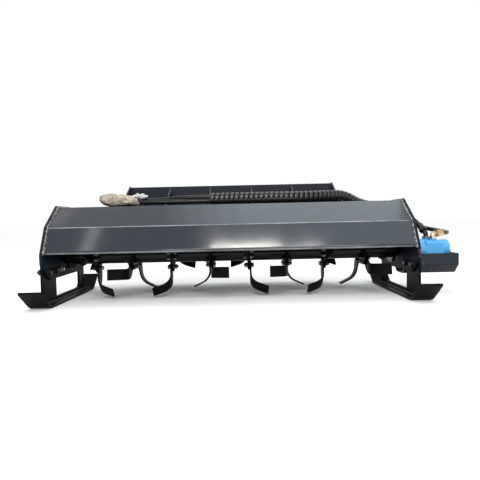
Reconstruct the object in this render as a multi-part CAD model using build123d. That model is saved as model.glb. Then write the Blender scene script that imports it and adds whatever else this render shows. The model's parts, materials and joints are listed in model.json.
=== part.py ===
"""Hydraulic rotary tiller for a skid-steer loader, millimetres, +Z up.

X runs along the rotor towards the motor, Y runs forward towards the loader, and the floor is z = 0.
Shapes are drawn with x = 0 midway between the end plates and y = 0 on the rotor axis.
They are moved as one when they are written, so that the origin is the bottom centre of the machine's box.
"""

from build123d import *
import os
from math import atan2, cos, degrees, hypot, radians, sin, sqrt, tan

# Rotor
tine_reach = 203.0
tine_floor_gap = 3.0
rotor_z = tine_reach + tine_floor_gap
tube_radius = 38.0
tube_wall = 8.0
flange_count = 8
flange_side = 132.0
flange_corner = 15.0
flange_thickness = 10.0
flange_shift = -8.0
tines_per_flange = 4
rotor_phase = 180.0
rotor_stagger = -45.0

# Tine: a strip that leaves its flange radially, sweeps round at a knee, and then bends sideways
tine_thickness = 8.0
tine_width = 51.0
tine_root_radius = 42.0
tine_knee_radius = 117.0
tine_knee_bend = 44.0
tine_sweep_angle = 50.0
tine_side_reach = 84.0
tine_side_angle = 65.0
tine_side_bend = 64.0

# Rotor journals
journal_radius = 25.0
motor_shaft_radius = 18.0
hub_disc_radius = 60.0
hub_disc_thickness = 14.0
hub_plate_gap = 26.0
end_tine_gap = 38.5
running_clearance = 0.05

# Hood, with rises measured from the rotor axis
hood_width = 1650.0
hood_sheet = 5.0
hood_bend = 6.0
lip_rear_y = -255.0
lip_front_y = 316.0
lip_rise = 25.0
ridge_rear_y = -196.0
ridge_front_y = 222.0
ridge_rise = 143.0
top_rear_y = -69.0
top_front_y = 80.0
top_rise = 238.0
hem_length = 24.0

# End plates
end_plate = 10.0
end_plate_margin = 8.0
end_plate_shoulder = 16.0
end_plate_drop = 90.0
end_plate_chamfer = 88.0
shaft_hole_radius = 34.0

# Skids
runner_width = 98.0
runner_thickness = 10.0
runner_bend = 45.0
runner_rear_y = -255.0
runner_front_y = 300.0
tail_run = 100.0
tail_rise = 78.0
nose_run = 90.0
nose_rise = 70.0
web_thickness = 10.0
web_foot = 18.0
web_rear_y = -236.0
web_front_y = 278.0
web_top_rise = -19.0
leg_slot_inset = 34.0
leg_slot_drop = 38.0
leg_slot_length = 52.0
leg_slot_width = 17.0
window_rear_y = -92.0
window_front_y = 205.0

# Quick-attach frame for the loader
attach_width = 1143.0
attach_height = 420.0
attach_plate = 10.0
attach_rear_y = 345.0
attach_top_rise = 358.0
hook_sheet = 8.0
hook_reach = 24.0
hook_run = 20.0
hook_drop = 38.0
shelf_depth = 74.0
shelf_thickness = 12.0
slot_inset = 79.0
slot_length = 62.0
slot_width = 32.0
gusset_count = 6
gusset_thickness = 8.0
gusset_top_step = 7.0
gusset_ear = 6.0
gusset_slope = 29.0

# Left bearing
bearing_side = 143.0
bearing_corner = 22.0
bearing_flange = 16.0
bearing_hub_radius = 50.0
bearing_length = 44.0
bearing_end_gap = 3.0

# Hydraulic motor, with lengths along X from the right end plate
adapter_side = 150.0
adapter_corner = 16.0
adapter_thickness = 18.0
motor_radius = 40.0
motor_flange_side = 100.0
motor_flange_corner = 14.0
motor_flange_thickness = 18.0
motor_front_length = 66.0
motor_bore_depth = 40.0
gerotor_radius = 48.0
gerotor_length = 30.0
valve_length = 84.0
valve_width = 92.0
valve_drop = 46.0
valve_rise = 42.0
valve_corner = 12.0
port_boss_radius = 19.0
port_boss_height = 9.0
cover_radius = 44.0
cover_length = 30.0
port_a = (40.0, -21.0)
port_b = (24.0, 21.0)

# Motor guard
guard_sheet = 6.0
guard_bend = 6.0
guard_end_gap = 16.0
guard_half_width = 85.0
guard_top_rise = -17.0
guard_wall = 54.0
guard_chamfer = 42.0

# Hoses and their ends
hose_radius = 11.5
hose_sides = 8
adapter_hex = 32.0
adapter_height = 10.0
elbow_width = 22.0
elbow_bend = 13.0
elbow_rise = 15.0
elbow_reach = 20.0
nut_hex = 34.0
nut_length = 14.0
ferrule_width = 30.0
ferrule_length = 33.0
crimp_flats = 8
elbow_a_heading = 30.0
elbow_a_pitch = 0.0
elbow_b_heading = 100.0
elbow_b_pitch = 35.0
hose_a_lead = 70.0
hose_b_lead = 65.0
sleeve_radius = 29.0
sleeve_bore = 24.6
sleeve_sides = 10
coupler_hex = 32.0
coupler_length = 92.0
wrap_width = 98.0
wrap_height = 65.0
wrap_corner = 22.0
wrap_length = 199.0
wrap_end_bevel = 16.0
wrap_clearance = 0.8
rest_gap = 0.3

# Derived places
plate_outer_x = hood_width / 2
plate_inner_x = plate_outer_x - end_plate
tube_end_x = plate_inner_x - hub_plate_gap - hub_disc_thickness
last_flange_x = tube_end_x - end_tine_gap - tine_side_reach - flange_thickness / 2
slot_spacing = attach_width - 2 * slot_inset
lip_z = rotor_z + lip_rise
ridge_z = rotor_z + ridge_rise
top_z = rotor_z + top_rise
attach_top_z = rotor_z + attach_top_rise
attach_front_y = attach_rear_y + attach_plate
skid_x = plate_outer_x + web_thickness / 2
motor_front_x = plate_outer_x + adapter_thickness
gerotor_x = motor_front_x + motor_front_length
valve_x = gerotor_x + gerotor_length
cover_x = valve_x + valve_length
guard_end_x = cover_x + cover_length + guard_end_gap + guard_sheet
guard_length = guard_end_x - plate_outer_x
hood_outline = [
    (lip_rear_y, lip_z),
    (ridge_rear_y, ridge_z),
    (top_rear_y, top_z),
    (top_front_y, top_z),
    (ridge_front_y, ridge_z),
    (lip_front_y, lip_z),
]


# Drawing helpers
def unit(a, b):
    """Direction from point a to point b in the drawing plane."""
    length = hypot(b[0] - a[0], b[1] - a[1])
    return (b[0] - a[0]) / length, (b[1] - a[1]) / length


def beside(points, distance):
    """The open polyline moved to its left by a distance, with mitred corners."""
    runs = [unit(a, b) for a, b in zip(points, points[1:])]
    moved = []
    for index, (u, v) in enumerate(points):
        before = runs[max(index - 1, 0)]
        after = runs[min(index, len(runs) - 1)]
        turn = before[0] * after[0] + before[1] * after[1]
        scale = distance / (1 + turn)
        moved.append((u - (before[1] + after[1]) * scale, v + (before[0] + after[0]) * scale))
    return moved


def rounded_line(points, radii):
    """A polyline with a radius at each of its inner corners."""
    if len(points) == 2:
        return Line(*points)
    return FilletPolyline(*points, radius=radii)


def sheet_face(points, thickness, bend):
    """Section of a bent sheet: the polyline is one side, and the thickness lies to its left."""
    runs = [unit(a, b) for a, b in zip(points, points[1:])]
    turns = [a[0] * b[1] - a[1] * b[0] for a, b in zip(runs, runs[1:])]
    other = beside(points, thickness)
    drawn = rounded_line(points, [bend + thickness if turn > 0 else bend for turn in turns])
    offset_line = rounded_line(other, [bend if turn > 0 else bend + thickness for turn in turns])
    ends = [Line(points[0], other[0]), Line(points[-1], other[-1])]
    return make_face([*drawn.edges(), *offset_line.edges(), *ends])


def along_x(face, x_start, length):
    """A face drawn as (y, z), extruded along X."""
    return extrude(Plane.YZ.offset(x_start) * face, length)


def polygon_along_x(points, x_start, length):
    return along_x(make_face(Polyline(*points, close=True)), x_start, length)


def round_bar(radius, x_start, length):
    """A cylinder on the rotor axis."""
    return along_x(Pos(0, rotor_z) * Circle(radius), x_start, length)


def clipped(width, height, corner):
    """A rectangle with its corners cut off at 45 degrees."""
    blank = Rectangle(width, height)
    return chamfer(blank.vertices(), corner)


def square_plate(side, corner, x_start, length):
    """A square plate with clipped corners, centred on the rotor axis."""
    return along_x(Pos(0, rotor_z) * clipped(side, side, corner), x_start, length)


def mirrored(shape):
    """The same piece at the other end of the machine."""
    return mirror(shape, Plane.YZ)


# Hood and end plates
def hood_shell():
    rear_hem = (lip_rear_y + hem_length, lip_z)
    front_hem = (lip_front_y - hem_length, lip_z)
    outline = [front_hem, *reversed(hood_outline), rear_hem]
    return along_x(sheet_face(outline, hood_sheet, hood_bend), -plate_inner_x, 2 * plate_inner_x)


def end_plate_outline():
    crown = list(reversed(beside(list(reversed(hood_outline)), -end_plate_margin)))
    rear_y, front_y = crown[0][0], crown[-1][0]
    shoulder_z, foot_z = rotor_z - end_plate_shoulder, rotor_z - end_plate_drop
    return [
        *crown,
        (front_y, shoulder_z),
        (front_y - end_plate_chamfer, foot_z),
        (rear_y + end_plate_chamfer, foot_z),
        (rear_y, shoulder_z),
    ]


def right_end_plate():
    plate = polygon_along_x(end_plate_outline(), plate_inner_x, end_plate)
    return plate - round_bar(shaft_hole_radius, plate_inner_x, end_plate)


# Skids
def right_runner():
    outline = [
        (runner_rear_y - tail_run, tail_rise),
        (runner_rear_y, 0),
        (runner_front_y, 0),
        (runner_front_y + nose_run, nose_rise),
    ]
    section = sheet_face(outline, runner_thickness, runner_bend)
    return along_x(section, skid_x - runner_width / 2, runner_width)


def right_web():
    base = runner_thickness
    top = rotor_z + web_top_rise
    sill = base + web_foot
    outline = [
        (web_rear_y, base),
        (web_front_y, base),
        (web_front_y, top),
        (window_front_y, top),
        (window_front_y, sill),
        (window_rear_y, sill),
        (window_rear_y, top),
        (web_rear_y, top),
    ]
    web = polygon_along_x(outline, plate_outer_x, web_thickness)
    for y in (web_rear_y + leg_slot_inset, window_rear_y - leg_slot_inset, (window_front_y + web_front_y) / 2):
        slot = Pos(y, top - leg_slot_drop) * SlotOverall(leg_slot_length, leg_slot_width, rotation=90)
        web -= along_x(slot, plate_outer_x, web_thickness)
    return web


# Rotor
def flange_places():
    spacing = 2 * last_flange_x / (flange_count - 1)
    return [flange_shift + index * spacing - last_flange_x for index in range(flange_count)]


def flange_angle(index):
    """Angle about X that turns an upright tine to the flange's first tine."""
    return rotor_phase + rotor_stagger * (index % 2)


def at_rotor(x, angle):
    return Pos(x, 0, rotor_z) * Rot(angle, 0, 0)


def rotor_shaft():
    """The tube with its end discs and journals welded in."""
    left_tip = -(plate_outer_x + bearing_length - bearing_end_gap)
    right_step = plate_outer_x + adapter_thickness / 2
    right_tip = motor_front_x + motor_bore_depth - bearing_end_gap
    shaft = round_bar(tube_radius, -tube_end_x, 2 * tube_end_x)
    shaft += round_bar(hub_disc_radius, -tube_end_x - hub_disc_thickness, hub_disc_thickness)
    shaft += round_bar(hub_disc_radius, tube_end_x, hub_disc_thickness)
    shaft += round_bar(journal_radius, left_tip, -tube_end_x - left_tip)
    shaft += round_bar(journal_radius, tube_end_x, right_step - tube_end_x)
    shaft += round_bar(motor_shaft_radius, right_step, right_tip - right_step)
    return shaft - round_bar(tube_radius - tube_wall, -tube_end_x, 2 * tube_end_x)


def rotor_flanges():
    pieces = []
    for index, x in enumerate(flange_places()):
        blank = clipped(flange_side, flange_side, flange_corner) - Circle(tube_radius)
        plate = extrude(Plane.YZ.offset(-flange_thickness / 2) * Rot(0, 0, 45) * blank, flange_thickness)
        pieces.append(at_rotor(x, flange_angle(index)) * plate)
    return Compound(pieces)


def tine_blade_run():
    """How far past the knee the blade ends, so that its leading corner is at the tine's reach."""
    half = tine_width / 2
    along = tine_knee_radius * cos(radians(tine_sweep_angle))
    across = tine_knee_radius * sin(radians(tine_sweep_angle)) + half
    return sqrt(tine_reach**2 - across**2) - along


def tine():
    """One upright tine that sweeps towards +Y and bends to +X, with its shank's inner face on x = 0."""
    half = tine_width / 2
    sweep = radians(tine_sweep_angle)
    run = tine_blade_run()
    tip = (run * sin(sweep) - half * cos(sweep), tine_knee_radius + run * cos(sweep) + half * sin(sweep))
    knee = (-half, tine_knee_radius + half * tan(sweep / 2))
    side_view = sheet_face([tip, knee, (-half, tine_root_radius)], tine_width, tine_knee_bend)
    corner = run - tine_side_reach / tan(radians(tine_side_angle))
    outline = [(tine_side_reach, run), (0, corner), (0, -tine_reach)]
    section = sheet_face(outline, tine_thickness, tine_side_bend)
    bend = Plane(origin=(0, 0, tine_knee_radius), x_dir=(1, 0, 0), z_dir=(0, -cos(sweep), sin(sweep)))
    blank = extrude(bend * section, tine_reach, both=True)
    return blank & extrude(Plane.YZ * side_view, tine_side_reach + tine_thickness)


def tines(right_handed):
    pattern = tine() if right_handed else mirrored(tine())
    side = 1 if right_handed else -1
    pieces = []
    for index, x in enumerate(flange_places()):
        for turn in range(tines_per_flange):
            if (turn + (index + 1) // 2) % 2 == (0 if right_handed else 1):
                angle = flange_angle(index) + turn * 360 / tines_per_flange
                pieces.append(at_rotor(x + side * flange_thickness / 2, angle) * pattern)
    return Compound(pieces)


def left_bearing():
    flange = square_plate(bearing_side, bearing_corner, -plate_outer_x - bearing_flange, bearing_flange)
    hub = round_bar(bearing_hub_radius, -plate_outer_x - bearing_length, bearing_length)
    bore = round_bar(journal_radius + running_clearance, -plate_outer_x - bearing_length, bearing_length)
    return flange + hub - bore


# Quick-attach frame
def attach_plate_piece():
    middle = Pos((attach_rear_y + attach_front_y) / 2, attach_top_z - attach_height / 2)
    return along_x(middle * Rectangle(attach_plate, attach_height), -attach_width / 2, attach_width)


def attach_hook():
    outline = [
        (attach_front_y + hook_reach + hook_run, attach_top_z - hook_drop),
        (attach_front_y + hook_reach, attach_top_z),
        (attach_front_y, attach_top_z),
    ]
    return along_x(sheet_face(outline, hook_sheet, 2), -attach_width / 2, attach_width)


def attach_shelf():
    bottom = attach_top_z - attach_height
    middle = Pos(attach_front_y + shelf_depth / 2, bottom + shelf_thickness / 2)
    shelf = along_x(middle * Rectangle(shelf_depth, shelf_thickness), -attach_width / 2, attach_width)
    for side in (-1, 1):
        slot = SlotOverall(slot_length, slot_width)
        cutter = Pos(side * slot_spacing / 2, attach_front_y + shelf_depth / 2, bottom) * slot
        shelf -= extrude(cutter, shelf_thickness)
    return shelf


def gusset_places():
    span = attach_width - gusset_thickness
    return [-span / 2 + index * span / (gusset_count - 1) for index in range(gusset_count)]


def gusset_outline(step):
    """A gusset whose top is a step below the coupling plate's."""
    top = (attach_rear_y, attach_top_z - step)
    fall = (ridge_z - top_z) / (ridge_front_y - top_front_y)
    climb = tan(radians(gusset_slope))
    toe_y = (top_z - fall * top_front_y - top[1] + climb * attach_rear_y) / (climb - fall)
    toe = (toe_y, top_z + fall * (toe_y - top_front_y))
    return [top, toe, (ridge_front_y, ridge_z), (lip_front_y, lip_z), (attach_rear_y, lip_z)]


def attach_gussets():
    """The outer two stand up past the plate as ears."""
    places = gusset_places()
    pieces = []
    for x in places:
        step = -gusset_ear if x in (places[0], places[-1]) else gusset_top_step
        pieces.append(polygon_along_x(gusset_outline(step), x - gusset_thickness / 2, gusset_thickness))
    return Compound(pieces)


# Hydraulic motor and its guard
def motor_adapter():
    plate = square_plate(adapter_side, adapter_corner, plate_outer_x, adapter_thickness)
    return plate - round_bar(shaft_hole_radius, plate_outer_x, adapter_thickness)


def motor_front():
    flange = square_plate(motor_flange_side, motor_flange_corner, motor_front_x, motor_flange_thickness)
    body = round_bar(motor_radius, motor_front_x, motor_front_length)
    bore = round_bar(motor_shaft_radius + running_clearance, motor_front_x, motor_bore_depth)
    return flange + body - bore


def motor_gerotor():
    return round_bar(gerotor_radius, gerotor_x, gerotor_length)


def motor_valve_block():
    height = valve_rise + valve_drop
    middle = Pos(0, rotor_z + (valve_rise - valve_drop) / 2)
    block = along_x(middle * clipped(valve_width, height, valve_corner), valve_x, valve_length)
    top = rotor_z + valve_rise
    for along, across in (port_a, port_b):
        foot = Pos(valve_x + along, across, top - valve_corner)
        block += extrude(foot * Circle(port_boss_radius), valve_corner + port_boss_height)
    return block


def motor_cover():
    return round_bar(cover_radius, cover_x, cover_length)


def motor_guard():
    top = rotor_z + guard_top_rise
    knee = top - guard_wall
    floor = knee - guard_chamfer
    flat = guard_half_width - guard_chamfer
    outline = [
        (-guard_half_width, top),
        (-guard_half_width, knee),
        (-flat, floor),
        (flat, floor),
        (guard_half_width, knee),
        (guard_half_width, top),
    ]
    trough = along_x(sheet_face(outline, guard_sheet, guard_bend), plate_outer_x, guard_length)
    end = polygon_along_x(beside(outline, guard_sheet), guard_end_x - guard_sheet, guard_sheet)
    return trough + end


# Hoses: the middle line of the pair on the hood, from the coupler end to the motor end
pair_z = top_z + rest_gap + sleeve_radius
pair_line = [
    (-225, 0, pair_z),
    (0, 8, pair_z),
    (220, -3, pair_z),
    (390, 12, pair_z + 0.3),
    (495, 60, pair_z + 6),
    (580, 112, pair_z + 8),
    (690, 172, pair_z - 46),
]
pair_exit = (825, 195, pair_z - 54)
pair_offset = (0, 7.2, 10.0)
coupler_a_line = [(-430, 19.6, pair_z - 1.3), (-340, 19.6, pair_z - 1.3)]
coupler_b_line = [(-430, -19.6, pair_z - 10.8), (-340, -19.6, pair_z - 10.8)]
motor_a_line = [(981, 264, rotor_z + 113), (1101, 189, rotor_z + 81)]
motor_b_line = [(858, 191, pair_z - 66)]


def shifted(points, offset, sign):
    return [tuple(p + sign * d for p, d in zip(point, offset)) for point in points]


def halfway(a, b):
    return tuple((p + q) / 2 for p, q in zip(a, b))


def cord_line(name, points):
    """Straight runs joined by tangent arcs that take most of each run."""
    corners = [Vector(*point) for point in points]
    runs = [b - a for a, b in zip(corners, corners[1:])]
    room = [run.length * (0.9 if index in (0, len(runs) - 1) else 0.45) for index, run in enumerate(runs)]
    radii = []
    for index in range(len(runs) - 1):
        half_turn = radians(runs[index].get_angle(runs[index + 1])) / 2
        radii.append(min(room[index], room[index + 1]) / tan(half_turn))
    line = FilletPolyline(*corners, radius=radii)
    print(name, "length", round(line.length), "radii", [round(radius) for radius in radii])
    return line


def tube_along(line, section):
    """A section carried along a line of straight runs and arcs, without twisting."""
    first = line.edges()[0]
    front = Plane(origin=first @ 0, z_dir=first % 0) * section
    lengths = []
    for edge in line.edges():
        if edge.geom_type == GeomType.LINE:
            lengths.append(extrude(front, edge.length, dir=edge % 0))
            front = Pos(edge @ 1 - edge @ 0) * front
        else:
            axle = Axis(edge.arc_center, (edge @ 0 - edge.arc_center).cross(edge % 0))
            turn = degrees(edge.length / edge.radius)
            lengths.append(revolve(front, axle, turn))
            front = front.rotate(axle, turn)
    tube = lengths[0]
    for length in lengths[1:]:
        tube += length
    return tube


def port_top(port):
    along, across = port
    return Vector(valve_x + along, across, rotor_z + valve_rise + port_boss_height)


def outlet(heading, pitch):
    level = cos(radians(pitch))
    return Vector(level * cos(radians(heading)), level * sin(radians(heading)), sin(radians(pitch)))


def hose_start(port, heading, pitch):
    bend = port_top(port) + Vector(0, 0, adapter_height + elbow_rise)
    return bend + outlet(heading, pitch) * (elbow_reach + nut_length + ferrule_length)


def hexagon(across_flats):
    return RegularPolygon(across_flats / 2, 6, major_radius=False)


def crimped_section():
    return RegularPolygon(ferrule_width / 2, crimp_flats, major_radius=False)


def port_adapters():
    places = [Pos(port_top(port)) for port in (port_a, port_b)]
    return Compound([extrude(place * hexagon(adapter_hex), adapter_height) for place in places])


def hose_end(port, heading, pitch):
    """An elbow on its adapter, then the swivel nut and the crimped ferrule."""
    aim = outlet(heading, pitch)
    foot = port_top(port) + Vector(0, 0, adapter_height)
    bend = foot + Vector(0, 0, elbow_rise)
    mouth = bend + aim * elbow_reach
    line = FilletPolyline(foot, bend, mouth, radius=elbow_bend)
    elbow = tube_along(line, RegularPolygon(elbow_width / 2, 8, major_radius=False))
    nut = extrude(Plane(origin=mouth, z_dir=aim) * hexagon(nut_hex), nut_length)
    ferrule = extrude(Plane(origin=mouth + aim * nut_length, z_dir=aim) * crimped_section(), ferrule_length)
    return elbow + nut + ferrule


def coupler(line):
    """The ferrule and quick coupler that carry on straight from the end of a hose."""
    end_x, y, z = line[0]
    seat_x = end_x - ferrule_length
    ferrule = along_x(Pos(y, z) * crimped_section(), seat_x, ferrule_length)
    body = along_x(Pos(y, z) * hexagon(coupler_hex), seat_x - coupler_length, coupler_length)
    return ferrule + body


def coupler_wrap():
    """A soft wrapping over both couplers, closed at its far end."""
    mouth_x = coupler_a_line[0][0]
    middle = Pos(0, top_z + rest_gap + wrap_height / 2)
    section = middle * clipped(wrap_width, wrap_height, wrap_corner)
    blank = along_x(section, mouth_x - wrap_length, wrap_length)
    blank = chamfer(blank.faces().sort_by(Axis.X)[0].edges(), wrap_end_bevel)
    depth = ferrule_length + coupler_length + wrap_clearance
    for line in (coupler_a_line, coupler_b_line):
        _, y, z = line[0]
        blank -= along_x(Pos(y, z) * hexagon(coupler_hex + 2 * wrap_clearance), mouth_x - depth, depth)
    return blank


def hose(name, line, start, lead):
    """A hose from its coupler to its ferrule, which it leaves straight for a short lead."""
    points = [*line, tuple(start + lead), tuple(start)]
    return tube_along(cord_line(name, points), RegularPolygon(hose_radius, hose_sides))


def hose_a():
    line = [*coupler_a_line, *shifted([*pair_line, pair_exit], pair_offset, 1), *motor_a_line]
    lead = outlet(elbow_a_heading, elbow_a_pitch) * hose_a_lead
    return hose("hose_a", line, hose_start(port_a, elbow_a_heading, elbow_a_pitch), lead)


def hose_b():
    line = [*coupler_b_line, *shifted(pair_line, pair_offset, -1), *motor_b_line]
    lead = outlet(elbow_b_heading, elbow_b_pitch) * hose_b_lead
    return hose("hose_b", line, hose_start(port_b, elbow_b_heading, elbow_b_pitch), lead)


def hose_sleeve():
    start, finish = halfway(*pair_line[:2]), halfway(pair_line[-1], pair_exit)
    line = cord_line("hose_sleeve", [start, *pair_line[1:], finish])
    bore = RegularPolygon(sleeve_bore, sleeve_sides, major_radius=False)
    return tube_along(line, RegularPolygon(sleeve_radius, sleeve_sides) - bore)


# Where the origin goes
box_x_low = -(skid_x + runner_width / 2)
box_x_high = guard_end_x
box_y_low = runner_rear_y - tail_run
box_y_high = attach_front_y + shelf_depth
origin_x = (box_x_low + box_x_high) / 2
origin_y = (box_y_low + box_y_high) / 2

pieces = {
    "hood_shell": hood_shell(),
    "end_plate_left": mirrored(right_end_plate()),
    "end_plate_right": right_end_plate(),
    "skid_runner_left": mirrored(right_runner()),
    "skid_runner_right": right_runner(),
    "skid_web_left": mirrored(right_web()),
    "skid_web_right": right_web(),
    "rotor_shaft": rotor_shaft(),
    "rotor_flanges": rotor_flanges(),
    "tines_left_hand": tines(False),
    "tines_right_hand": tines(True),
    "bearing_left": left_bearing(),
    "attach_plate": attach_plate_piece(),
    "attach_hook": attach_hook(),
    "attach_shelf": attach_shelf(),
    "attach_gussets": attach_gussets(),
    "motor_adapter": motor_adapter(),
    "motor_front": motor_front(),
    "motor_gerotor": motor_gerotor(),
    "motor_valve_block": motor_valve_block(),
    "motor_cover": motor_cover(),
    "motor_guard": motor_guard(),
    "port_adapters": port_adapters(),
    "hose_end_a": hose_end(port_a, elbow_a_heading, elbow_a_pitch),
    "hose_end_b": hose_end(port_b, elbow_b_heading, elbow_b_pitch),
    "hose_a": hose_a(),
    "hose_b": hose_b(),
    "hose_sleeve": hose_sleeve(),
    "coupler_a": coupler(coupler_a_line),
    "coupler_b": coupler(coupler_b_line),
    "coupler_wrap": coupler_wrap(),
}

os.makedirs("parts", exist_ok=True)
for name, piece in pieces.items():
    export_step(Pos(-origin_x, -origin_y, 0) * piece, f"parts/{name}.step")
print("origin shift", -origin_x, -origin_y)
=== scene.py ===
"""Looks of the rotary tiller: materials, hoses, wrapping, fasteners and welds round the CAD frame.

Places on the machine are in its own millimetres: x from mid-width, y from the rotor axis, z from the floor.
Sizes of small pieces, cord points, lamps and material patterns are in metres.
"""

import json
import math

import bpy
from mathutils import Matrix, Vector, noise


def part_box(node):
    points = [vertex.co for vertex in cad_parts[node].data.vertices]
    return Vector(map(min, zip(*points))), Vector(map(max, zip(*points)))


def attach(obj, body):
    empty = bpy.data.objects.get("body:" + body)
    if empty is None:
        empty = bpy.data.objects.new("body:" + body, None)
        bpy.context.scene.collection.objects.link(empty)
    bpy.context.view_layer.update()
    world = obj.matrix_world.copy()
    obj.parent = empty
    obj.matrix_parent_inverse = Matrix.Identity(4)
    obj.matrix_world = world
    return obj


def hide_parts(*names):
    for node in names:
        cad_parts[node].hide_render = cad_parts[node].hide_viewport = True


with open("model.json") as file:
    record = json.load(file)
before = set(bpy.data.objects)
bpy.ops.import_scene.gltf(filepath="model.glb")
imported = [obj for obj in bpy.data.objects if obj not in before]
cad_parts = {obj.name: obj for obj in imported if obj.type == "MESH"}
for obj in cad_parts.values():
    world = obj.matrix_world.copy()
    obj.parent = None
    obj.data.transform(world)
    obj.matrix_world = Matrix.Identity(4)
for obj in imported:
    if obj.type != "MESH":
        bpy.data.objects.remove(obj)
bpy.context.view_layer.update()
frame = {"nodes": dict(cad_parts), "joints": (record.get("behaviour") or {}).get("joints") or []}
nodes = frame["nodes"]
rotor_axis = Vector(frame["joints"][0]["pos_m"])


def mm(x, y, z):
    """A point in the machine's own millimetres, in the frame's metres."""
    return Vector((x / 1000 + rotor_axis.x, y / 1000 + rotor_axis.y, z / 1000))


def box_mm(node):
    """A CAD node's lowest and highest corners, in the machine's own millimetres."""
    return [(corner - Vector((rotor_axis.x, rotor_axis.y, 0.0))) * 1000 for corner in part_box(node)]


# Camera, at the photograph's place behind the machine
CAMERA_PLACE = mm(45.9, -2181.2, 362.1)
CAMERA_LENS = 33.41
CAMERA_SENSOR = 36.0
CAMERA_REACH = 200.0
CAMERA_YAW = math.radians(-0.04)
CAMERA_PITCH = math.radians(-2.44)
CAMERA_ROLL = math.radians(-1.28)

eye = bpy.data.cameras.new("camera")
eye.sensor_width = CAMERA_SENSOR
eye.lens = CAMERA_LENS
eye.clip_end = CAMERA_REACH
camera = bpy.data.objects.new("camera", eye)
bpy.context.scene.collection.objects.link(camera)
camera.matrix_world = (
    Matrix.Translation(CAMERA_PLACE)
    @ Matrix.Rotation(-CAMERA_YAW, 4, "Z")
    @ Matrix.Rotation(math.pi / 2 + CAMERA_PITCH, 4, "X")
    @ Matrix.Rotation(CAMERA_ROLL, 4, "Z")
)
bpy.context.scene.camera = camera
bpy.context.scene.view_settings.view_transform = "Standard"


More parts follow.
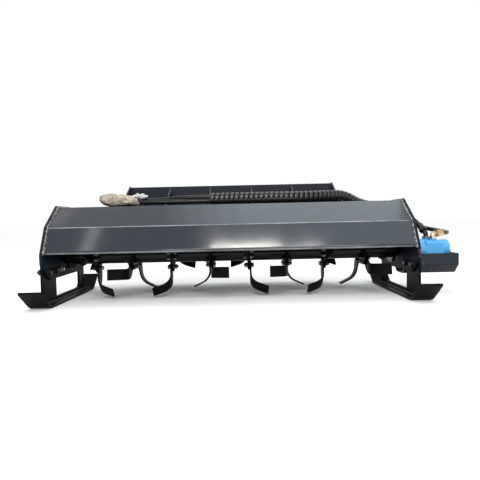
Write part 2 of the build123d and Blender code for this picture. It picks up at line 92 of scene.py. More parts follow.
# Materials
class Surface:
    """A material with short ways to wire its nodes. Patterns are in the frame's metres."""

    def __init__(self, name, roughness=0.4, metallic=0.0, specular=0.5):
        self.material = bpy.data.materials.new(name)
        self.material.use_nodes = True
        self.tree = self.material.node_tree
        self.shader = self.tree.nodes["Principled BSDF"]
        self.shader.inputs["Roughness"].default_value = roughness
        self.shader.inputs["Metallic"].default_value = metallic
        self.shader.inputs["Specular IOR Level"].default_value = specular
        self.place = self.node("ShaderNodeTexCoord").outputs["Object"]

    def node(self, kind, **settings):
        made = self.tree.nodes.new(kind)
        for key, value in settings.items():
            setattr(made, key, value)
        return made

    def feed(self, socket, value):
        """Link a socket to another, or set it to a plain value."""
        if isinstance(value, bpy.types.NodeSocket):
            self.tree.links.new(value, socket)
        else:
            socket.default_value = value

    def noise(self, scale, detail=4.0, roughness=0.55, stretch=None):
        made = self.node("ShaderNodeTexNoise")
        place = self.place
        if stretch:
            mapping = self.node("ShaderNodeMapping")
            mapping.inputs["Scale"].default_value = stretch
            self.feed(mapping.inputs["Vector"], place)
            place = mapping.outputs["Vector"]
        self.feed(made.inputs["Vector"], place)
        made.inputs["Scale"].default_value = scale
        made.inputs["Detail"].default_value = detail
        made.inputs["Roughness"].default_value = roughness
        return made.outputs["Fac"]

    def cells(self, scale, randomness):
        """Distance from the middle of the nearest cell."""
        made = self.node("ShaderNodeTexVoronoi")
        self.feed(made.inputs["Vector"], self.place)
        made.inputs["Scale"].default_value = scale
        made.inputs["Randomness"].default_value = randomness
        return made.outputs["Distance"]

    def ramp(self, factor, *stops):
        """A colour between stops, each a position and a colour."""
        made = self.node("ShaderNodeValToRGB")
        slots = made.color_ramp.elements
        while len(slots) < len(stops):
            slots.new(0.5)
        for slot, (position, colour) in zip(slots, stops):
            slot.position = position
            slot.color = (*colour, 1.0)
        self.feed(made.inputs["Fac"], factor)
        return made.outputs["Color"]

    def between(self, factor, low, high, out_low=0.0, out_high=1.0):
        """The range from low to high stretched to the range from out_low to out_high."""
        made = self.node("ShaderNodeMapRange")
        for slot, value in zip(made.inputs, (factor, low, high, out_low, out_high)):
            self.feed(slot, value)
        return made.outputs["Result"]

    def math(self, operation, a, b=0.0):
        made = self.node("ShaderNodeMath", operation=operation)
        self.feed(made.inputs[0], a)
        self.feed(made.inputs[1], b)
        return made.outputs["Value"]

    def mix(self, factor, a, b):
        """Colour a where the factor is zero and colour b where it is one."""
        made = self.node("ShaderNodeMix", data_type="RGBA")
        self.feed(made.inputs["Factor"], factor)
        colours = [socket for socket in made.inputs if socket.type == "RGBA"]
        for socket, value in zip(colours, (a, b)):
            self.feed(socket, (*value, 1.0) if isinstance(value, tuple) else value)
        return [socket for socket in made.outputs if socket.type == "RGBA"][0]

    def away(self, place, centre):
        """Distance of a place from a point."""
        gap = self.node("ShaderNodeVectorMath", operation="DISTANCE")
        self.feed(gap.inputs[0], place)
        gap.inputs[1].default_value = centre
        return gap.outputs["Value"]

    def near(self, centre, radius):
        """One at a point, falling to zero at a radius, broken up by noise."""
        fade = self.between(self.away(self.place, centre), 0.0, radius, 1.0, 0.0)
        return self.math("MULTIPLY", fade, self.between(self.noise(scale=160, detail=5), 0.35, 0.6))

    def along_fold(self, line, radius):
        """One on a line parallel to X through a point, falling to zero at a radius, uneven along the line."""
        flat = self.node("ShaderNodeVectorMath", operation="MULTIPLY")
        self.feed(flat.inputs[0], self.place)
        flat.inputs[1].default_value = (0.0, 1.0, 1.0)
        gap = self.away(flat.outputs["Vector"], (0.0, line.y, line.z))
        fade = self.between(gap, 0.4 * radius, radius, 1.0, 0.0)
        patchy = self.noise(scale=7, detail=6, roughness=0.65, stretch=(1.0, 0.2, 0.2))
        return self.math("MULTIPLY", fade, self.between(patchy, 0.3, 0.65, 0.15, 1.0))

    def facing_up(self):
        parts = self.node("ShaderNodeSeparateXYZ")
        self.feed(parts.inputs[0], self.node("ShaderNodeNewGeometry").outputs["Normal"])
        return self.between(parts.outputs["Z"], 0.25, 1.0)

    def edges(self, radius):
        """A rounded normal, and a mask that is high along edges."""
        bevel = self.node("ShaderNodeBevel", samples=4)
        bevel.inputs["Radius"].default_value = radius
        turn = self.node("ShaderNodeVectorMath", operation="DOT_PRODUCT")
        self.feed(turn.inputs[0], bevel.outputs["Normal"])
        self.feed(turn.inputs[1], self.node("ShaderNodeNewGeometry").outputs["Normal"])
        return bevel.outputs["Normal"], self.between(turn.outputs["Value"], 0.995, 0.85)

    def bump(self, height, distance, strength=1.0, normal=None):
        made = self.node("ShaderNodeBump")
        made.inputs["Strength"].default_value = strength
        made.inputs["Distance"].default_value = distance
        self.feed(made.inputs["Height"], height)
        if normal is not None:
            self.feed(made.inputs["Normal"], normal)
        return made.outputs["Normal"]

    def uneven(self, low, high, scale, detail, roughness=0.55):
        """A shine that wanders from low to high."""
        return self.between(self.noise(scale, detail, roughness), 0.3, 0.7, low, high)

    def finish(self, colour=None, roughness=None, normal=None):
        for name, value in (("Base Color", colour), ("Roughness", roughness), ("Normal", normal)):
            if value is not None:
                self.feed(self.shader.inputs[name], value)
        return self.material


RUST = (0.10, 0.025, 0.008), (0.42, 0.13, 0.03)
DUST = (0.03, 0.03, 0.03), (0.085, 0.083, 0.078)
DUST_FILM = (0.24, 0.23, 0.21)


def paint(name, dark, light, gloss, specular, dust, edge_wear_and_highlight, edge_radius=0.002, stains=(), fold_highlights=()):
    """Sprayed enamel: cloudy tone, orange peel, dust on what faces up, edges painted lighter as wear and as a
    painted highlight, and painted highlights along folds.
    """
    look = Surface(name, specular=specular)
    tone = look.mix(look.noise(scale=5, detail=3), dark, light)
    rounded, edge = look.edges(edge_radius)
    # Edges painted lighter: wear on every paint, and on the hood also a painted highlight
    wear_and_highlight_edges = look.math("MULTIPLY", edge, look.between(look.noise(scale=45, detail=5), 0.3, 0.75))
    tone = look.mix(wear_and_highlight_edges, tone, edge_wear_and_highlight)
    settled = look.between(look.noise(scale=14, detail=6, roughness=0.65), 0.35, 0.8, 0.0, dust)
    film = look.math("MULTIPLY", look.facing_up(), settled)
    tone = look.mix(film, tone, DUST_FILM)
    # Painted highlights: lighter lines painted along bends, where a lamp would light them
    for line, radius in fold_highlights:
        tone = look.mix(look.along_fold(line, radius), tone, edge_wear_and_highlight)
    for centre, radius, (deep, pale) in stains:
        stain = look.ramp(look.noise(scale=90, detail=5), (0.3, deep), (0.7, pale))
        tone = look.mix(look.near(centre, radius), tone, stain)
    shine = look.uneven(gloss - 0.015, gloss + 0.03, scale=9, detail=5, roughness=0.6)
    shine = look.math("ADD", shine, look.math("MULTIPLY", film, 0.3))
    wave = look.bump(look.noise(scale=4.5, detail=1), distance=0.0012, strength=0.1, normal=rounded)
    peel = look.bump(look.noise(scale=260, detail=2), distance=0.0004, strength=0.06, normal=wave)
    return look.finish(tone, shine, peel)


# Charcoal paint, shiniest on the hood and dull on the end plates
CHARCOAL = {"dark": (0.010, 0.0155, 0.022), "light": (0.014, 0.0215, 0.030), "dust": 0.05}
WORN_CHARCOAL = (0.13, 0.14, 0.15)
charcoal = paint("charcoal_enamel", **CHARCOAL, gloss=0.10, specular=0.22, edge_wear_and_highlight=WORN_CHARCOAL)
hood_charcoal = paint(
    "charcoal_enamel_hood",
    **CHARCOAL,
    gloss=0.10,
    specular=0.45,
    # The hood's pale edge colour is partly wear and partly a painted highlight along its edges and bends
    edge_wear_and_highlight=(0.34, 0.35, 0.36),
    stains=[(mm(-800, -150, 385), 0.09, DUST), (mm(-770, -110, 415), 0.06, DUST)],
    # Painted highlights along the hood's ridge bend and along its rounded lip
    fold_highlights=[(mm(0, -196, 348.7), 0.0032), (mm(0, -247, 236), 0.0055)],
)
DULL_CHARCOAL = {**CHARCOAL, "gloss": 0.45, "specular": 0.03, "edge_wear_and_highlight": WORN_CHARCOAL}
side_charcoal = paint("charcoal_enamel_sides", **DULL_CHARCOAL)
rusty_charcoal = paint(
    "charcoal_enamel_rusted",
    **DULL_CHARCOAL,
    stains=[(mm(824, -262, 214), 0.014, RUST), (mm(824, -264, 190), 0.012, RUST)],
)

# Other paints
navy = paint(
    "coupling_enamel",
    dark=(0.007, 0.011, 0.016),
    light=(0.010, 0.015, 0.022),
    gloss=0.30,
    specular=0.22,
    dust=0.05,
    edge_wear_and_highlight=(0.20, 0.21, 0.22),
)
black = paint(
    "black_enamel",
    dark=(0.003, 0.0033, 0.0037),
    light=(0.005, 0.0055, 0.006),
    gloss=0.34,
    specular=0.03,
    dust=0.04,
    edge_wear_and_highlight=(0.05, 0.05, 0.05),
)
blade = paint(
    "blade_black",
    dark=(0.004, 0.004, 0.004),
    light=(0.007, 0.0066, 0.0062),
    gloss=0.38,
    specular=0.035,
    dust=0.04,
    edge_wear_and_highlight=(0.07, 0.065, 0.06),
)
tube_black = paint(
    "tube_black",
    dark=(0.004, 0.0044, 0.005),
    light=(0.008, 0.0085, 0.009),
    gloss=0.22,
    specular=0.16,
    dust=0.03,
    edge_wear_and_highlight=(0.05, 0.05, 0.05),
)
cast = paint(
    "cast_black",
    dark=(0.009, 0.009, 0.010),
    light=(0.016, 0.016, 0.017),
    gloss=0.45,
    specular=0.3,
    dust=0.08,
    edge_wear_and_highlight=(0.06, 0.06, 0.06),
)
blue = paint(
    "motor_blue",
    dark=(0.058, 0.33, 0.67),
    light=(0.088, 0.41, 0.76),
    gloss=0.28,
    specular=0.5,
    dust=0.03,
    edge_wear_and_highlight=(0.26, 0.58, 0.88),
    edge_radius=0.003,
)


def metal(name, dark, light, roughness, grain=60):
    """Plated or bare metal with uneven tone and brighter edges."""
    look = Surface(name, metallic=1.0)
    tone = look.mix(look.noise(grain, detail=5, roughness=0.65), dark, light)
    rounded, edge = look.edges(0.001)
    bright = tuple(min(1.0, 1.4 * channel) for channel in light)
    tone = look.mix(look.math("MULTIPLY", edge, 0.5), tone, bright)
    shine = look.uneven(roughness - 0.08, roughness + 0.12, scale=1.7 * grain, detail=4)
    skin = look.bump(look.noise(scale=700, detail=3), distance=0.0002, strength=0.15, normal=rounded)
    return look.finish(tone, shine, skin)


brass = metal("yellow_plating", (0.40, 0.25, 0.12), (0.78, 0.58, 0.36), 0.28)
dark_plate = metal("dark_plating", (0.018, 0.0175, 0.016), (0.05, 0.048, 0.045), 0.38)
zinc = metal("zinc_plating", (0.42, 0.42, 0.41), (0.66, 0.66, 0.64), 0.34)
zinc_dull = metal("zinc_dull", (0.065, 0.065, 0.064), (0.18, 0.18, 0.176), 0.36)


def weld_bead():
    """A painted weld: dark in the ripples, with bare bright flecks on their tops."""
    look = Surface("weld_bead", roughness=0.38)
    fleck = look.between(look.noise(scale=150, detail=4, roughness=0.7), 0.50, 0.57)
    tone = look.mix(look.math("MULTIPLY", fleck, 0.8), (0.03, 0.031, 0.033), (0.46, 0.46, 0.45))
    grit = look.bump(look.noise(scale=420, detail=4), distance=0.0012, strength=0.6)
    return look.finish(tone, look.uneven(0.3, 0.55, scale=200, detail=3), grit)


def rubber(name, tone, roughness, specular):
    """Black rubber or plastic with a fine skin."""
    look = Surface(name, specular=specular)
    colour = look.mix(look.noise(scale=30, detail=5), tone, tuple(2.2 * channel for channel in tone))
    shine = look.uneven(roughness - 0.07, roughness + 0.1, scale=22, detail=5)
    skin = look.bump(look.noise(scale=900, detail=2), distance=0.0003, strength=0.25)
    return look.finish(colour, shine, skin)


def bubble_wrap():
    """Cream film dotted with bubbles, cloudy and dirty and wrinkled; the bubbles' middles are painted paler
    as a painted highlight.
    """
    look = Surface("packing_film")
    look.shader.inputs["Subsurface Weight"].default_value = 0.15
    look.shader.inputs["Subsurface Radius"].default_value = (0.006, 0.004, 0.003)
    cloud = look.ramp(
        look.noise(scale=26, detail=6, roughness=0.7),
        (0.25, (0.07, 0.05, 0.033)),
        (0.45, (0.23, 0.185, 0.13)),
        (0.72, (0.54, 0.48, 0.39)),
    )
    bubble_dome_and_highlight = look.between(look.cells(scale=78.0, randomness=0.35), 0.1, 0.55, 1.0, 0.0)
    # The middles of the bubbles are painted paler: a painted highlight on their domes
    colour = look.mix(look.math("MULTIPLY", bubble_dome_and_highlight, 0.6), cloud, (0.68, 0.63, 0.55))
    wrinkle = look.bump(look.noise(scale=75, detail=7, roughness=0.7), distance=0.004, strength=0.5)
    domes = look.bump(bubble_dome_and_highlight, distance=0.002, strength=0.7, normal=wrinkle)
    return look.finish(colour, look.uneven(0.25, 0.55, scale=60, detail=4), domes)


def thin_film():
    """Thin white packing film that lets some of what is behind it through."""
    look = Surface("clear_film", roughness=0.3)
    look.shader.inputs["Transmission Weight"].default_value = 0.25
    tone = look.mix(look.noise(scale=60, detail=5), (0.55, 0.55, 0.54), (0.85, 0.85, 0.84))
    crumple = look.bump(look.noise(scale=140, detail=6), distance=0.003, strength=0.6)
    return look.finish(tone, look.uneven(0.2, 0.45, scale=80, detail=4), crumple)


weld = weld_bead()
hose_rubber = rubber("hose_rubber", (0.003, 0.003, 0.003), roughness=0.16, specular=0.24)
guard_plastic = rubber("guard_plastic", (0.003, 0.0032, 0.0035), roughness=0.30, specular=0.55)
cream_film = bubble_wrap()
clear_film = thin_film()

finishes = {
    charcoal: "motor_guard motor_adapter",
    side_charcoal: "end_plate_left",
    hood_charcoal: "hood_shell",
    navy: "attach_plate attach_hook attach_shelf attach_gussets",
    rusty_charcoal: "end_plate_right",
    black: "skid_runner_left skid_runner_right skid_web_left skid_web_right rotor_flanges",
    tube_black: "rotor_shaft",
    blade: "tines_left_hand tines_right_hand",
    cast: "bearing_left",
    blue: "motor_front motor_gerotor motor_valve_block motor_cover",
    brass: "hose_end_a",
    dark_plate: "hose_end_b coupler_a coupler_b",
    zinc: "port_adapters",
    hose_rubber: "hose_a hose_b",
    guard_plastic: "hose_sleeve",
    cream_film: "coupler_wrap",
}
for material, names in finishes.items():
    for name in names.split():
        nodes[name].data.materials.clear()
        nodes[name].data.materials.append(material)


# Hoses, on the same route points as their CAD solids
HOSE_DIAMETER = 0.023
hose_a_points = [
    (-0.5280, -0.0174, 0.4720),
    (-0.4380, -0.0174, 0.4720),
    (-0.3230, -0.0298, 0.4833),
    (-0.0980, -0.0218, 0.4833),
    (0.1220, -0.0328, 0.4833),
    (0.2920, -0.0178, 0.4836),
    (0.3970, 0.0302, 0.4893),
    (0.4820, 0.0822, 0.4913),
    (0.5920, 0.1422, 0.4373),
    (0.7270, 0.1652, 0.4293),
    (0.8830, 0.2270, 0.3190),
    (1.0030, 0.1520, 0.2870),
    (0.9996, 0.0105, 0.2820),
    (0.9390, -0.0245, 0.2820),
]
hose_b_points = [
    (-0.5280, -0.0566, 0.4625),
    (-0.4380, -0.0566, 0.4625),
    (-0.3230, -0.0442, 0.4633),
    (-0.0980, -0.0362, 0.4633),
    (0.1220, -0.0472, 0.4633),
    (0.2920, -0.0322, 0.4636),
    (0.3970, 0.0158, 0.4693),
    (0.4820, 0.0678, 0.4713),
    (0.5920, 0.1278, 0.4173),
    (0.7600, 0.1540, 0.4073),
    (0.8462, 0.0905, 0.3577),
    (0.8555, 0.0380, 0.3204),
]
sleeve_points = [
    (-0.2105, -0.0330, 0.4733),
    (-0.0980, -0.0290, 0.4733),
    (0.1220, -0.0400, 0.4733),
    (0.2920, -0.0250, 0.4736),
    (0.3970, 0.0230, 0.4793),
    (0.4820, 0.0750, 0.4813),
    (0.5920, 0.1350, 0.4273),
    (0.6595, 0.1465, 0.4233),
]


def route(name, points, radius=0.0):
    """A smooth line on a cord's route points, with a round section if a radius is given."""
    curve = bpy.data.curves.new(name, "CURVE")
    curve.dimensions = "3D"
    spline = curve.splines.new("NURBS")
    spline.points.add(len(points) - 1)
    for point, place in zip(spline.points, points):
        point.co = (*place, 1.0)
    spline.order_u = 3
    spline.use_endpoint_u = True
    spline.resolution_u = 16
    curve.bevel_depth = radius
    curve.bevel_resolution = 6
    curve.use_fill_caps = True
    made = bpy.data.objects.new(name, curve)
    bpy.context.scene.collection.objects.link(made)
    return made


def route_line(points):
    """Points read along a route's smooth line."""
    guide = route("guide", points)
    mesh = bpy.data.meshes.new_from_object(guide)
    line = [vertex.co.copy() for vertex in mesh.vertices]
    bpy.data.objects.remove(guide)
    bpy.data.meshes.remove(mesh)
    return line


for name, points in (("hose_a", hose_a_points), ("hose_b", hose_b_points)):
    hose = route(name + "_rubber", points, HOSE_DIAMETER / 2)
    hose.data.materials.append(hose_rubber)
    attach(hose, "frame")
    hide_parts(name)


# Mesh pieces
WASHER_THICKNESS = 0.0028


class Shape:
    """Vertices and faces gathered for one piece."""

    def __init__(self):
        self.points = []
        self.faces = []

    def rings(self, rings):
        """A closed skin: quads between closed rings of points, and a cap at each end."""
        base, count = len(self.points), len(rings[0])
        for ring in rings:
            self.points.extend(ring)
        for row in range(len(rings) - 1):
            low, high = base + row * count, base + (row + 1) * count
            for i in range(count):
                j = (i + 1) % count
                self.faces.append((low + i, low + j, high + j, high + i))
        top = base + (len(rings) - 1) * count
        self.faces.append(tuple(base + i for i in reversed(range(count))))
        self.faces.append(tuple(top + i for i in range(count)))

    def turned(self, place, profile, steps=24):
        """A profile of (radius, height) turned about the place's Z axis."""
        turns = [2 * math.pi * i / steps for i in range(steps)]
        rings = []
        for radius, height in profile:
            circle = [Vector((radius * math.cos(a), radius * math.sin(a), height)) for a in turns]
            rings.append([place @ point for point in circle])
        self.rings(rings)

    def hexagon(self, place, flats, height, tip=0.0):
        """A hexagon head or nut with turned corners. A tip is the thread end that stands out of a nut."""
        half = flats / 2
        reach = half / math.cos(math.pi / 6)
        foot, side, crown = [], [], []
        for i in range(12):
            angle = math.pi * i / 6
            on_corner = i % 2 == 0
            radius = reach if on_corner else half
            x, y = math.cos(angle), math.sin(angle)
            foot.append(place @ Vector((radius * x, radius * y, 0.0)))
            side.append(place @ Vector((radius * x, radius * y, height * (0.8 if on_corner else 0.96))))
            crown.append(place @ Vector((0.9 * half * x, 0.9 * half * y, height)))
        self.rings([foot, side, crown])
        if tip:
            radius, top = 0.30 * flats, height + tip
            self.turned(place, [(radius, 0.0), (radius, top - 0.0015), (0.8 * radius, top)], steps=16)

    def washer(self, place, radius, height):
        self.turned(place, [(radius, 0.0), (radius, 0.8 * height), (0.96 * radius, height)])

    def bolt(self, place, flats=0.019, tip=0.0, washer=True):
        """A bolt head or nut that stands on the place's XY plane, on a washer unless said otherwise."""
        lift = 0.0
        if washer:
            self.washer(place, 0.66 * flats, WASHER_THICKNESS)
            lift = WASHER_THICKNESS
        self.hexagon(place @ Matrix.Translation((0, 0, lift)), flats, 0.62 * flats, tip)

    def bead(self, line, radius, around=8, ripple=0.0055, step=0.0018, seed=0.0):
        """A weld bead along a line: overlapping ripples of uneven height."""
        turns = [2 * math.pi * k / around for k in range(around)]
        rings, travelled = [], 0.0
        for a, b in zip(line, line[1:]):
            run = (b - a).length
            along = (b - a) / run
            side = along.orthogonal().normalized()
            other = along.cross(side)
            steps = max(2, int(run / step))
            for i in range(steps + (b is line[-1])):
                reached = travelled + run * i / steps
                wave = (reached / ripple) % 1.0
                grow = 0.82 + 0.26 * wave * (2 - wave) + 0.22 * noise.noise((reached * 60, seed, 0))
                centre = a.lerp(b, i / steps)
                spokes = [side * math.cos(turn) + other * math.sin(turn) for turn in turns]
                rings.append([centre + spoke * radius * grow for spoke in spokes])
            travelled += run
        self.rings(rings)

    def piece(self, name, material, body, sharp=40.0):
        """One smooth piece of the gathered faces, crisp at edges that turn more than sharp degrees."""
        mesh = bpy.data.meshes.new(name)
        mesh.from_pydata(self.points, [], self.faces)
        mesh.validate()
        mesh.polygons.foreach_set("use_smooth", [True] * len(mesh.polygons))
        mesh.set_sharp_from_angle(angle=math.radians(sharp))
        mesh.materials.append(material)
        made = bpy.data.objects.new(name, mesh)
        bpy.context.scene.collection.objects.link(made)
        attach(made, body)
        return made


def facing(point, direction):
    """A place at a point whose Z axis looks along a direction."""
    return Matrix.Translation(point) @ Vector(direction).to_track_quat("Z", "Y").to_matrix().to_4x4()


# Spiral guard round the two hoses
def guard_profile(width, inner, outer):
    """Section of the guard's strip, as distances along and out from its line: a low crown on a flat back."""
    crown = []
    for k in range(9):
        turn = math.pi * k / 8
        rise = 0.35 + 0.65 * math.sin(turn) ** 0.7
        crown.append((-0.5 * width * math.cos(turn), inner + (outer - inner) * rise))
    return [*crown, (0.5 * width, inner), (-0.5 * width, inner)]


def spiral_guard(points, pitch=0.024, width=0.0188, inner=0.0247, outer=0.0288, steps_a_turn=40):
    """A strip wound round the hoses' middle line from end to end."""
    line = route_line(points)
    lengths = [0.0]
    for a, b in zip(line, line[1:]):
        lengths.append(lengths[-1] + (b - a).length)
    profile = guard_profile(width, inner, outer)
    steps = int(lengths[-1] / pitch * steps_a_turn)
    rings, segment = [], 0
    for i in range(steps + 1):
        reached = (lengths[-1] - width) * i / steps + width / 2
        while segment < len(line) - 2 and lengths[segment + 1] < reached:
            segment += 1
        a, b = line[segment], line[segment + 1]
        along = (b - a).normalized()
        centre = a.lerp(b, (reached - lengths[segment]) / (lengths[segment + 1] - lengths[segment]))
        side = along.cross(Vector((0, 0, 1))).normalized()
        up = side.cross(along)
        turn = 2 * math.pi * reached / pitch
        radial = side * math.cos(turn) + up * math.sin(turn)
        rings.append([centre + along * forward + radial * out for forward, out in profile])
    shape = Shape()
    shape.rings(rings)
    return shape.piece("spiral_guard", guard_plastic, "frame", sharp=50)


guard = spiral_guard(sleeve_points)
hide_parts("hose_sleeve")

# Wrapping over the couplers. A station is a place along the bundle, with its underside and its top there.
WRAP_LOW, WRAP_HIGH = box_mm("coupler_wrap")
WRAP_GAP = 0.3
WRAP_HALF_WIDTH = 48.0
WRAP_LIMIT = 50.0
WRAP_STATIONS = [
    (-629, 474, 492),
    (-626, 466, 499),
    (-618, 459, 503),
    (-604, 452, 507),
    (-586, 446, 508),
    (-560, 445, 507),
    (-530, 445, 503),
    (-500, 445, 499),
    (-475, 445, 495),
    (-455, 445, 491),
    (-441, 445, 488),
    (-430.5, 445, 485),
]
WRAP_STEP = 2.5
WRAP_AROUND = 72
NECK_X = -600
SLANT_X = -480
SLANT_LENGTH = 50
TAIL_X = -480
TAIL_Y = 8
TAIL_Z = 494
TAIL_LENGTH = 76
TAIL_HALF_WIDTH = 25
TAIL_HALF_HEIGHT = 15
TAIL_DROP = 4
TAIL_LEAN = 4
TAIL_TOP = WRAP_HIGH.z - 0.8
TAIL_STEPS = 48
TAIL_AROUND = 40


def within(value, low, high):
    return max(low, min(high, value))


def blunt(value):
    """A cosine or sine drawn out towards a rounded square."""
    return math.copysign(abs(value) ** 0.85, value)


def fine_stations():
    """The bundle's stations with steps between them."""
    fine = [WRAP_STATIONS[0]]
    for a, b in zip(WRAP_STATIONS, WRAP_STATIONS[1:]):
        count = max(1, int((b[0] - a[0]) / WRAP_STEP))
        for k in range(1, count + 1):
            fine.append(tuple(p + (q - p) * k / count for p, q in zip(a, b)))
    return fine


def bundle(shape):
    """A bundle of bubble film: fat and lifted at its far end, cut on the slant where the hoses come out."""
    rings = []
    for x, low, high in fine_stations():
        middle, half = (low + high) / 2, (high - low) / 2
        if x < NECK_X:
            width = min(WRAP_HALF_WIDTH, 14.0 + half * 1.3)
        else:
            width = WRAP_HALF_WIDTH - 0.03 * (x - NECK_X)
        ring = []
        for k in range(WRAP_AROUND):
            turn = 2 * math.pi * k / WRAP_AROUND
            across, up = math.cos(turn), math.sin(turn)
            y, z = width * blunt(across), half * blunt(up)
            fold = noise.noise((x * 0.030 + across * 1.2, across * 1.7, up * 1.7 + x * 0.012))
            crease = 1.0 - abs(noise.noise((x * 0.055 + up, across * 2.3 + 7, up * 2.3)))
            push = 1.02 + 0.10 * fold + 0.12 * (crease - 0.85)
            slant = -0.5 * (z + half) * max(0.0, (x - SLANT_X) / SLANT_LENGTH)
            along = max(WRAP_LOW.x, x + slant)
            side = within(y * push, -WRAP_LIMIT, WRAP_LIMIT)
            level = within(middle + z * push, WRAP_LOW.z + WRAP_GAP, WRAP_HIGH.z - WRAP_GAP)
            ring.append(mm(along, side, level))
        rings.append(ring)
    shape.rings(rings)


def film_tail(shape):
    """A crumpled tail of clear film on top of the bundle."""
    rings = []
    for i in range(TAIL_STEPS + 1):
        share = i / TAIL_STEPS
        size = math.sin(math.pi * (0.03 + 0.94 * share)) ** 0.6
        ring = []
        for k in range(TAIL_AROUND):
            turn = 2 * math.pi * k / TAIL_AROUND
            across, up = math.cos(turn), math.sin(turn)
            crumple = noise.noise((share * 4.5 + across, across * 1.6, up * 1.6 + 3))
            crease = abs(noise.noise((share * 8.0 + 4, across * 2.6, up * 2.6)))
            push = size * (0.95 + 0.45 * crumple - 0.5 * crease)
            x = TAIL_X + TAIL_LENGTH * share + TAIL_LEAN * up
            y = TAIL_Y + TAIL_HALF_WIDTH * across * push
            z = TAIL_Z - TAIL_DROP * share + TAIL_HALF_HEIGHT * up * push
            ring.append(mm(x, y, min(TAIL_TOP, z)))
        rings.append(ring)
    shape.rings(rings)


def wrapping():
    """The bundle and its tail as one piece in two materials."""
    shape = Shape()
    bundle(shape)
    bundled = len(shape.faces)
    film_tail(shape)
    made = shape.piece("wrapping", cream_film, "frame", sharp=70)
    made.data.materials.append(clear_film)
    for face in made.data.polygons[bundled:]:
        face.material_index = 1
    return made


wrap = wrapping()
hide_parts("coupler_wrap")

# Sizes of what the fasteners and welds sit on. The hood's outline is in y and z, from its rear lip forward.
ROTOR_Z = rotor_axis.z * 1000
PLATE_IN = box_mm("end_plate_right")[0].x
PLATE_OUT = box_mm("end_plate_right")[1].x
BEARING_FLANGE = 16.0
BEARING_FACE = -(PLATE_OUT + BEARING_FLANGE)
BEARING_HUB_RADIUS = 50.0
WEB_LOW, WEB_HIGH = box_mm("skid_web_right")
ADAPTER_FACE = box_mm("motor_adapter")[1].x
MOTOR_FLANGE = 18.0
MOTOR_FLANGE_FACE = box_mm("motor_front")[0].x + MOTOR_FLANGE
COVER_FACE = box_mm("motor_cover")[1].x
SHELF_LOW, SHELF_HIGH = box_mm("attach_shelf")
GUSSET_LOW, GUSSET_HIGH = box_mm("attach_gussets")
GUSSET_COUNT = 6
GUSSET_HALF = 4.0
GUSSET_TOE = (100, 431)
FLANGE_LOW, FLANGE_HIGH = box_mm("rotor_flanges")
FLANGE_COUNT = 8
FLANGE_HALF = 5.0
TINE_THICKNESS = 8.0
TUBE_RADIUS = 38.0
HOOD_OUTLINE = [(-255, 231), (-196, 349), (-69, 444), (80, 444), (222, 349), (316, 231)]


def spread(low, high, count):
    """Places spaced evenly from low to high."""
    return [low + (high - low) * i / (count - 1) for i in range(count)]


flange_places = spread(FLANGE_LOW.x + FLANGE_HALF, FLANGE_HIGH.x - FLANGE_HALF, FLANGE_COUNT)
gusset_places = spread(GUSSET_LOW.x + GUSSET_HALF, GUSSET_HIGH.x - GUSSET_HALF, GUSSET_COUNT)


def about_rotor(x, angle, across, out):
    """A point given by its angle about the rotor, its distance out, and its distance across that line."""
    turn = math.radians(angle)
    y = across * math.cos(turn) - out * math.sin(turn)
    z = across * math.sin(turn) + out * math.cos(turn)
    return mm(x, y, ROTOR_Z + z)


# Fasteners
TINE_BOLT_OUT = 60.0
TINE_BOLT_ACROSS = 13.5
SKID_BOLT_Y = (WEB_LOW.y + 34.0, WEB_LOW.y + 110.0, WEB_HIGH.y - 36.5)
SKID_BOLT_Z = WEB_HIGH.z - 35.0
SKID_BOLT_FLATS = 0.024
SLOT_WASHER_RADIUS = 0.019
SLOT_WASHER_THICKNESS = 0.003
BEARING_BOLT = 53.0
ADAPTER_BOLT = 60.0
MOTOR_FLANGE_BOLT = 39.0
MOTOR_BOLT_FLATS = 0.017
COVER_BOLTS = 7
COVER_BOLT_OUT = 35.0
COVER_BOLT_FLATS = 0.011
GREASE_NIPPLE = [
    (0.0045, -0.002),
    (0.0045, 0.004),
    (0.003, 0.005),
    (0.003, 0.009),
    (0.0038, 0.011),
    (0.002, 0.014),
]


def tine_bolts():
    """Two bolts a tine: the heads on the shank and the nuts on the flange."""
    shape = Shape()
    for index, x in enumerate(flange_places):
        for turn in range(4):
            side = 1 if (turn + (index + 1) // 2) % 2 == 0 else -1
            angle = (135 if index % 2 else 180) + 90 * turn
            for across in (-TINE_BOLT_ACROSS, TINE_BOLT_ACROSS):
                head = about_rotor(x + side * (FLANGE_HALF + TINE_THICKNESS), angle, across, TINE_BOLT_OUT)
                nut = about_rotor(x - side * FLANGE_HALF, angle, across, TINE_BOLT_OUT)
                shape.bolt(facing(head, (side, 0, 0)), washer=False)
                shape.bolt(facing(nut, (-side, 0, 0)), tip=0.004)
    return shape.piece("tine_bolts", zinc_dull, "rotor")


def skid_bolts():
    """Nuts on washers over the slots of the skid legs, and heads inside the end plates."""
    shape = Shape()
    for side in (-1, 1):
        for y in SKID_BOLT_Y:
            slot = mm(side * WEB_HIGH.x, y, SKID_BOLT_Z)
            nut = mm(side * (WEB_HIGH.x + 1000 * SLOT_WASHER_THICKNESS), y, SKID_BOLT_Z)
            head = mm(side * PLATE_IN, y, SKID_BOLT_Z)
            shape.washer(facing(slot, (side, 0, 0)), SLOT_WASHER_RADIUS, SLOT_WASHER_THICKNESS)
            shape.bolt(facing(nut, (side, 0, 0)), SKID_BOLT_FLATS, tip=0.006)
            shape.bolt(facing(head, (-side, 0, 0)), SKID_BOLT_FLATS)
    return shape.piece("skid_bolts", dark_plate, "frame")


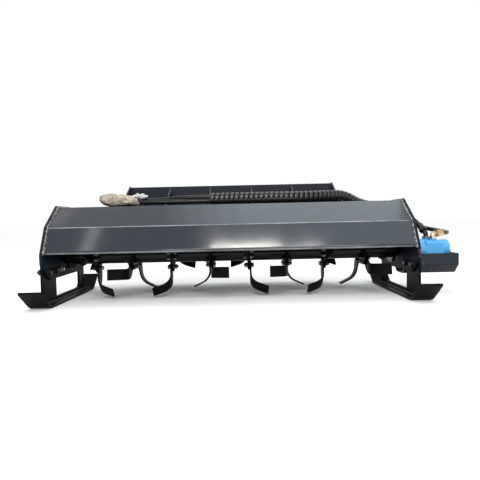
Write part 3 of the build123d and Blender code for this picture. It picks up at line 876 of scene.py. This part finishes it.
def bearing_bolts():
    """Nuts on the bearing's flange, heads inside the end plate, and a grease nipple on the hub."""
    shape = Shape()
    for y in (-BEARING_BOLT, BEARING_BOLT):
        for z in (-BEARING_BOLT, BEARING_BOLT):
            shape.bolt(facing(mm(BEARING_FACE, y, ROTOR_Z + z), (-1, 0, 0)), tip=0.005)
            shape.bolt(facing(mm(-PLATE_IN, y, ROTOR_Z + z), (1, 0, 0)))
    hub_top = mm(BEARING_FACE - 15.0, 0.0, ROTOR_Z + BEARING_HUB_RADIUS)
    shape.turned(facing(hub_top, (0, 0, 1)), GREASE_NIPPLE, steps=12)
    return shape.piece("bearing_bolts", zinc, "frame")


def motor_bolts():
    """Adapter, flange and end-cover bolts of the motor."""
    shape = Shape()
    for y in (-1, 1):
        for z in (-1, 1):
            for face, reach in ((ADAPTER_FACE, ADAPTER_BOLT), (MOTOR_FLANGE_FACE, MOTOR_FLANGE_BOLT)):
                place = mm(face, reach * y, ROTOR_Z + reach * z)
                shape.bolt(facing(place, (1, 0, 0)), MOTOR_BOLT_FLATS)
    for i in range(COVER_BOLTS):
        place = about_rotor(COVER_FACE, 360.0 * i / COVER_BOLTS, 0.0, COVER_BOLT_OUT)
        shape.bolt(facing(place, (1, 0, 0)), COVER_BOLT_FLATS, washer=False)
    return shape.piece("motor_bolts", zinc, "frame")


tine_bolts()
skid_bolts()
bearing_bolts()
motor_bolts()

# Weld beads, by their radius
HOOD_BEAD = 0.0062
ROTOR_BEAD = 0.0042
FOOT_BEAD = 0.004
GUSSET_BEAD = 0.0035
SHELF_BEAD = 0.004


def hood_welds():
    """Along the hood's ends, inside the rim of each end plate."""
    shape = Shape()
    for side in (-1, 1):
        line = [mm(side * (PLATE_IN - 2.5), y, z) for y, z in HOOD_OUTLINE]
        shape.bead(line, HOOD_BEAD, seed=side)
    return shape.piece("hood_welds", weld, "frame", sharp=70)


def rotor_welds():
    """A ring on each face of each flange, where it meets the tube."""
    shape = Shape()
    for index, x in enumerate(flange_places):
        for side in (-1, 1):
            face = x + side * (FLANGE_HALF + 0.5)
            ring = [about_rotor(face, 10.0 * k, 0.0, TUBE_RADIUS + 1.0) for k in range(37)]
            shape.bead(ring, ROTOR_BEAD, around=6, seed=2 * index + side)
    return shape.piece("rotor_welds", black, "rotor", sharp=70)


def frame_welds():
    """Webs to runners, gussets to the hood and to the coupling plate, and the shelf to the plate."""
    shape = Shape()
    for side in (-1, 1):
        for x in (WEB_LOW.x, WEB_HIGH.x):
            foot = [mm(side * x, y, WEB_LOW.z + 1) for y in (WEB_LOW.y, WEB_HIGH.y)]
            shape.bead(foot, FOOT_BEAD, around=6, seed=x * side)
    front_fold, front_lip = HOOD_OUTLINE[-2:]
    for i, middle in enumerate(gusset_places):
        for side in (-1, 1):
            x = middle + side * (GUSSET_HALF + 0.5)
            on_hood = [mm(x, y, z) for y, z in (GUSSET_TOE, front_fold, front_lip)]
            on_plate = [mm(x, GUSSET_HIGH.y, z) for z in (GUSSET_LOW.z + 9, GUSSET_HIGH.z - 22)]
            shape.bead(on_hood, GUSSET_BEAD, around=6, seed=i + 7 * side)
            shape.bead(on_plate, GUSSET_BEAD, around=6, seed=i + 9 * side)
    shelf_end = GUSSET_HIGH.x - 11.5
    on_shelf = [mm(x, SHELF_LOW.y + 0.5, SHELF_HIGH.z + 0.5) for x in (-shelf_end, shelf_end)]
    shape.bead(on_shelf, SHELF_BEAD, around=6, seed=3)
    return shape.piece("frame_welds", charcoal, "frame", sharp=70)


hood_welds()
rotor_welds()
frame_welds()

# Stage
FLOOR_SIZE = 60.0
FLOOR_DROP = 0.0005
WHITE = (1.0, 1.0, 1.0)
WARM = (1.0, 0.96, 0.90)
FAINTLY_COOL = (0.94, 0.98, 1.0)
SLIGHTLY_COOL = (0.90, 0.96, 1.0)
COOL = (0.84, 0.95, 1.0)


def pale_floor():
    """White to the camera and in reflections, and grey to the light that it would throw up."""
    look = Surface("pale_floor", roughness=0.9, specular=0.0)
    rays = look.node("ShaderNodeLightPath").outputs
    seen = look.math("MAXIMUM", rays["Is Camera Ray"], rays["Is Glossy Ray"])
    seen = look.math("MAXIMUM", seen, rays["Is Transmission Ray"])
    shown = look.mix(look.noise(scale=3), (0.96, 0.96, 0.96), (0.98, 0.98, 0.98))
    return look.finish(look.mix(seen, (0.30, 0.30, 0.30), shown))


def lay_floor():
    """A wide pale floor just under the skids."""
    half = FLOOR_SIZE / 2
    mesh = bpy.data.meshes.new("floor")
    corners = [(-half, -half, 0), (half, -half, 0), (half, half, 0), (-half, half, 0)]
    mesh.from_pydata(corners, [], [(0, 1, 2, 3)])
    mesh.materials.append(pale_floor())
    made = bpy.data.objects.new("floor", mesh)
    bpy.context.scene.collection.objects.link(made)
    made.location.z = -FLOOR_DROP


def white_world():
    """Plain white light from all round."""
    world = bpy.data.worlds.new("studio")
    bpy.context.scene.world = world
    world.use_nodes = True
    background = world.node_tree.nodes["Background"]
    background.inputs["Color"].default_value = (*WHITE, 1.0)
    background.inputs["Strength"].default_value = 1.0


def lamp(name, place, aim, width, height, watts, colour=WHITE):
    """A soft rectangular lamp that looks from its place towards a point."""
    light = bpy.data.lights.new(name, "AREA")
    light.shape = "RECTANGLE"
    light.size = width
    light.size_y = height
    light.energy = watts
    light.color = colour
    made = bpy.data.objects.new(name, light)
    bpy.context.scene.collection.objects.link(made)
    made.location = place
    made.rotation_euler = (Vector(aim) - Vector(place)).to_track_quat("-Z", "Y").to_euler()


lay_floor()
white_world()

# Lamps behind the camera, which the hood's lower panel reflects
lamp("window", (0.01, -2.4, 2.705), (0.0, -0.28, 0.25), 0.80, 0.10, 13, WARM)
lamp("window_far", (0.68, -2.4, 2.68), (0.3, -0.28, 0.25), 0.36, 0.06, 2.2)
lamp("wall_far", (0.075, -2.4, 2.75), (0.0, -0.26, 0.3), 1.25, 0.9, 3.8, SLIGHTLY_COOL)
lamp("strip", (-1.86, -2.4, 2.93), (-0.71, -0.26, 0.29), 0.10, 1.2, 2.2)
lamp("wall", (1.4, -2.4, 2.75), (0.5, -0.26, 0.3), 1.4, 0.9, 6, COOL)

# Lamps overhead, which its upper panel reflects, fading out towards the left
lamp("ceiling", (0.85, 0.75, 3.2), (0.85, -0.1, 0.4), 1.8, 1.5, 18.0, COOL)
for step in range(4):
    middle = -0.75 + 0.2 * step
    watts = 0.4 * (step + 1)
    lamp(f"ceiling_fade_{step}", (middle, 0.75, 3.2), (middle, -0.1, 0.4), 0.2, 1.5, watts, COOL)

# Soft light on everything
lamp("sky", (0.0, 0.6, 3.7), (0.0, 0.0, 0.4), 5.0, 2.4, 5, FAINTLY_COOL)
lamp("fill", (0.3, -4.2, 2.6), (0.0, 0.0, 0.25), 3.0, 1.2, 110)
